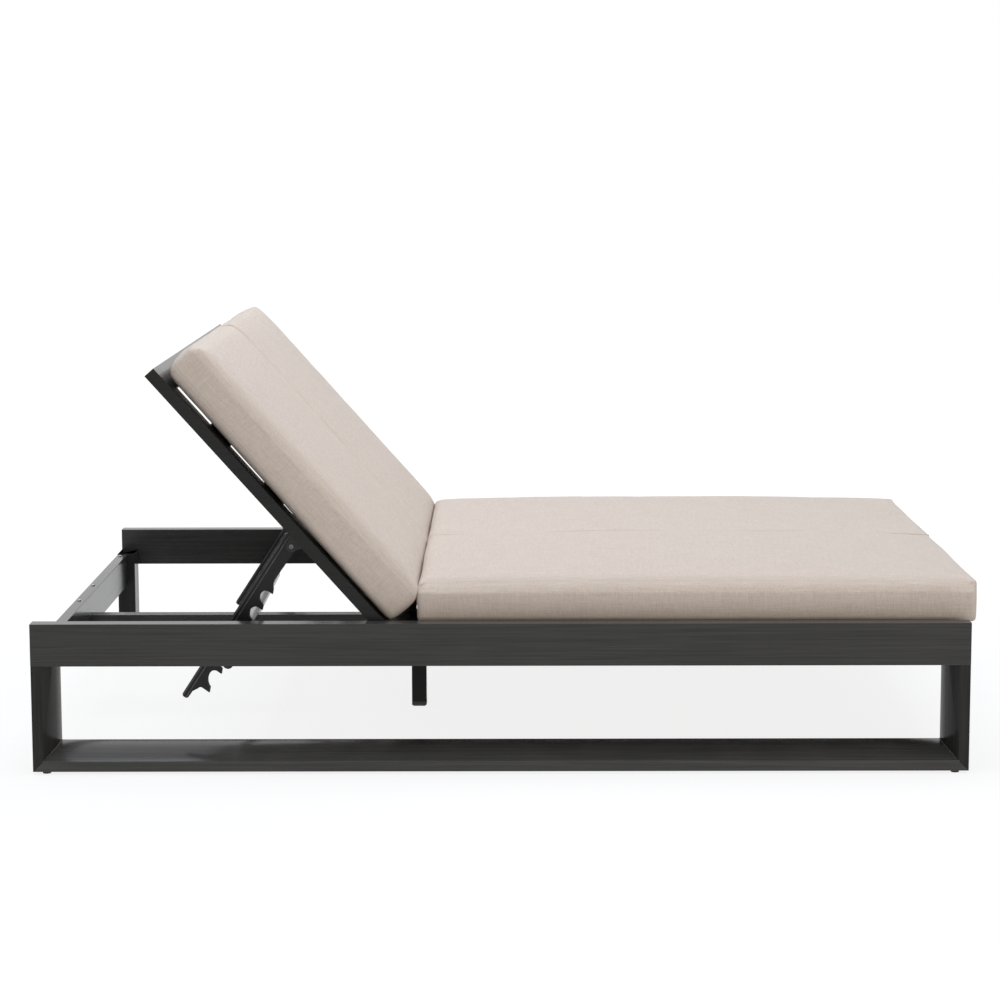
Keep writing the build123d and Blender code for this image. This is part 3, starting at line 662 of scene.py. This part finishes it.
def add_pad(name, low, high, look, matrix, mirrored):
    """One cushion between two corners: grid, shape, simulation, creases."""
    size = tuple(b - a for a, b in zip(low, high))
    beside_seams = [s + d for s in look["seams"] for d in GRID_BESIDE_SEAM]
    inside_far, inside_top = ([size[axis] - d for d in GRID_INSIDE_EDGE] for axis in (1, 2))
    kept = ((), inside_far, beside_seams + inside_top)
    mesh = box_grid(name, *(lines(0, size[a], GRID_STEPS[a], kept[a]) for a in range(3)))
    obj = add_object(name, mesh)
    points = get_values(mesh, "co")
    seam = np.any([np.abs(points[:, 2] - level) < SEAM_SNAP for level in look["seams"]], axis=0)
    set_points(mesh, pad_shape(points, size, look))
    inflate(obj, seam)
    fit_box(mesh, low, high)
    mesh = refine(obj)
    mesh.name = name
    pucker(mesh, look)
    if mirrored:
        set_points(mesh, get_values(mesh, "co") * (1, -1, 1))
        mesh.flip_normals()
    smooth_shading(mesh)
    mesh.materials.append(MATERIALS["fabric"])
    obj.matrix_world = matrix
    return obj


# Radii of the top and low edges and the bulge go head, foot, near, far
SEAT_LOOK = {
    "corner": 0.011,
    "top": (0.025, 0.010, 0.034, 0.0018),
    "low": (0.008, 0.008, 0.022, 0.002),
    "tight": 1.0,
    "crisp": 0.75,
    "swell": 2.2,
    "crown": 0.015,
    "bulge": (0.002, 0.0, 0.004, 0.0),
    "seams": (0.014, 0.077),
    "raised": 0.0,
}
BACK_LOOK = {
    "corner": 0.013,
    "top": (0.028, 0.040, 0.026, 0.013),
    "low": (0.022, 0.018, 0.022, 0.006),
    "tight": 0.9,
    "crisp": 0.0,
    "swell": 6.0,
    "crown": 0.011,
    "bulge": (0.012, 0.009, 0.004, 0.0),
    "seams": (0.024, 0.092),
    "raised": 0.012,
}
FAR_BACK_LOOK = {**BACK_LOOK, "top": (0.013, 0.042, 0.015, 0.013), "swell": 12.0}
SEAT_BOX = ((-0.1880, -0.6570, 0.3132), (1.0135, -0.0004, 0.4255))
BACK_BOX = ((-0.9870, -0.6570, 0.3134), (-0.2520, -0.0004, 0.4290))
FLAT = Matrix.Identity(4)
SEEDS = {"near": 1.7, "far": 8.3}


def add_cushions():
    for side, part, body, box, look, matrix in (
        ("near", "seat", "base", SEAT_BOX, SEAT_LOOK, FLAT),
        ("far", "seat", "base", SEAT_BOX, SEAT_LOOK, FLAT),
        ("near", "back", "backrest", BACK_BOX, BACK_LOOK, RAISED),
        ("far", "back", "backrest", BACK_BOX, FAR_BACK_LOOK, RAISED),
    ):
        look = {**look, "seed": SEEDS[side]}
        pad = add_pad(f"{side}_{part}_pad", *box, look, matrix, mirrored=side == "far")
        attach(pad, body)
        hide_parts(f"{side}_{part}_cushion")


# Small metal tab of the near seat cushion's zip, at its head corner
ZIP_PLACE = (-0.1868, -0.6565, 0.3490)
ZIP_LINES = ([0, 0.0015, 0.003], [0, 0.0012, 0.0024], [0, 0.003, 0.006, 0.009])


def add_zip_pull():
    mesh = box_grid("zip_pull", *ZIP_LINES)
    pull = add_object("zip_pull", mesh)
    set_points(mesh, get_values(mesh, "co") + np.array(ZIP_PLACE))
    refine(pull).materials.append(MATERIALS["steel"])
    smooth_shading(pull.data)
    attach(pull, "base")


# Fine weld beads down the mitres of the side frames' lower corners: each runs
# through points given as inward from the frame's end, back from its side, and up
FRAME_ENDS = {-1: -1.0075, 1: 0.9925}
FRAME_SIDE = 0.705
BEAD_POINTS = ((0.0215, 0.0, 0.0275), (0.0440, 0.052, 0.050), (0.0440, 0.118, 0.050))
BEAD_STEPS = 24
BEAD_RADIUS = 0.0011
BEAD_RIPPLE = (0.35, 2.4)    # height and phase step of the bead's swelling
BEAD_BLOB = 0.9              # extra thickness of its outer end


def bead_mesh(end, side):
    curve = bpy.data.curves.new("bead", "CURVE")
    curve.dimensions, curve.bevel_depth, curve.bevel_resolution = "3D", BEAD_RADIUS, 2
    curve.use_fill_caps = True
    for start, stop in zip(BEAD_POINTS, BEAD_POINTS[1:]):
        spline = curve.splines.new("POLY")
        spline.points.add(BEAD_STEPS)
        for i, point in enumerate(spline.points):
            inward, back, up = Vector(start).lerp(Vector(stop), i / BEAD_STEPS)
            point.co = (FRAME_ENDS[end] - end * inward, side * (FRAME_SIDE - back), up, 1.0)
            blob = BEAD_BLOB if i == 0 and back == 0 else 0.0
            point.radius = 1.0 + BEAD_RIPPLE[0] * math.sin(i * BEAD_RIPPLE[1]) + blob
    shape = add_object("bead_shape", curve)
    mesh = bpy.data.meshes.new_from_object(evaluated(shape))
    bpy.data.objects.remove(shape)
    return mesh


def add_weld_beads():
    for end in (-1, 1):
        for side in (-1, 1):
            mesh = bead_mesh(end, side)
            name = f"weld_bead_{'head' if end < 0 else 'foot'}_{'near' if side < 0 else 'far'}"
            bead = add_object(name, mesh)
            smooth_shading(mesh)
            mesh.materials.clear()
            mesh.materials.append(MATERIALS["weld"])
            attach(bead, "base")


# Light, floor and background: light on the object, and what the camera sees
WORLD_LIGHT = 0.34
WORLD_SEEN = 1.0
FLOOR_REACH = 15.0
FLOOR_LOW = grey(0.80)
FLOOR_HIGH = grey(0.84)
FLOOR_CLOUD = 0.8
FLOOR_GLOW = 1.06
# Share of the glow: at the object, what is added far from it, and between which
# distances from the middle
GLOW_NEAR = 0.80
GLOW_ADDED = 0.20
GLOW_DISTANCES = (1.4, 3.4)
MIDDLE = (0.0, 0.3)
LAMPS = (
    # name, place, target, size, watts, colour, seen in reflections
    ("overhead", (-0.2, 0.2, 4.6), (-0.1, *MIDDLE), (5.0, 5.0), 211.0, (0.925, 1.0, 1.10), True),
    ("front", (2.6, -6.3, 1.2), (0.1, *MIDDLE), (3.2, 2.0), 83.0, (1.06, 0.97, 0.87), False),
)


def backdrop_factor(tree):
    """1 for rays of the camera, reflections and glass, 0 for the light on the object."""
    path = node(tree, "ShaderNodeLightPath").outputs
    seen = math_node(tree, "MAXIMUM", path["Is Camera Ray"], path["Is Glossy Ray"])
    return math_node(tree, "MAXIMUM", seen, path["Is Transmission Ray"])


def finish_backdrop(tree, output, factor, first, second):
    mix = node(tree, "ShaderNodeMixShader", {0: factor, 1: first.outputs[0], 2: second.outputs[0]})
    out = node(tree, output)
    tree.links.new(mix.outputs[0], out.inputs["Surface"])


def add_world():
    world = bpy.data.worlds.new("studio")
    scene.world = world
    world.use_nodes = True
    tree = world.node_tree
    tree.nodes.clear()
    light, seen = (
        node(tree, "ShaderNodeBackground", {"Color": WHITE, "Strength": strength})
        for strength in (WORLD_LIGHT, WORLD_SEEN)
    )
    finish_backdrop(tree, "ShaderNodeOutputWorld", backdrop_factor(tree), light, seen)


def add_floor():
    mesh = bpy.data.meshes.new("floor")
    corners = [(x * FLOOR_REACH, y * FLOOR_REACH, 0) for x, y in ((-1, -1), (1, -1), (1, 1), (-1, 1))]
    mesh.from_pydata(corners, [], [(0, 1, 2, 3)])
    floor = add_object("floor", mesh)
    made, tree, source = material("floor_white")
    mesh.materials.append(made)
    colour = mixed(tree, streaks(tree, source, FLOOR_CLOUD), FLOOR_LOW, FLOOR_HIGH)
    pale = node(tree, "ShaderNodeBsdfDiffuse", {"Color": colour})
    glow = node(tree, "ShaderNodeEmission", {"Color": WHITE, "Strength": FLOOR_GLOW})
    distance = node(tree, "ShaderNodeVectorMath", {0: source}, operation="LENGTH").outputs["Value"]
    away = ramp(tree, distance, *GLOW_DISTANCES)
    share = math_node(tree, "MULTIPLY_ADD", away, GLOW_ADDED, GLOW_NEAR)
    factor = math_node(tree, "MULTIPLY", backdrop_factor(tree), share)
    finish_backdrop(tree, "ShaderNodeOutputMaterial", factor, pale, glow)


def add_lamps():
    for name, place, target, size, watts, colour, reflected in LAMPS:
        data = bpy.data.lights.new(name, "AREA")
        data.shape, data.size, data.size_y = "RECTANGLE", *size
        data.energy, data.color = watts, colour
        lamp = add_object(name, data)
        lamp.location = place
        lamp.rotation_mode = "QUATERNION"
        lamp.rotation_quaternion = (Vector(target) - Vector(place)).to_track_quat("-Z", "Y")
        lamp.visible_glossy = reflected


dress_nodes()
add_cushions()
add_zip_pull()
add_weld_beads()
add_camera()
add_world()
add_floor()
add_lamps()
scene.view_settings.view_transform = "Standard"
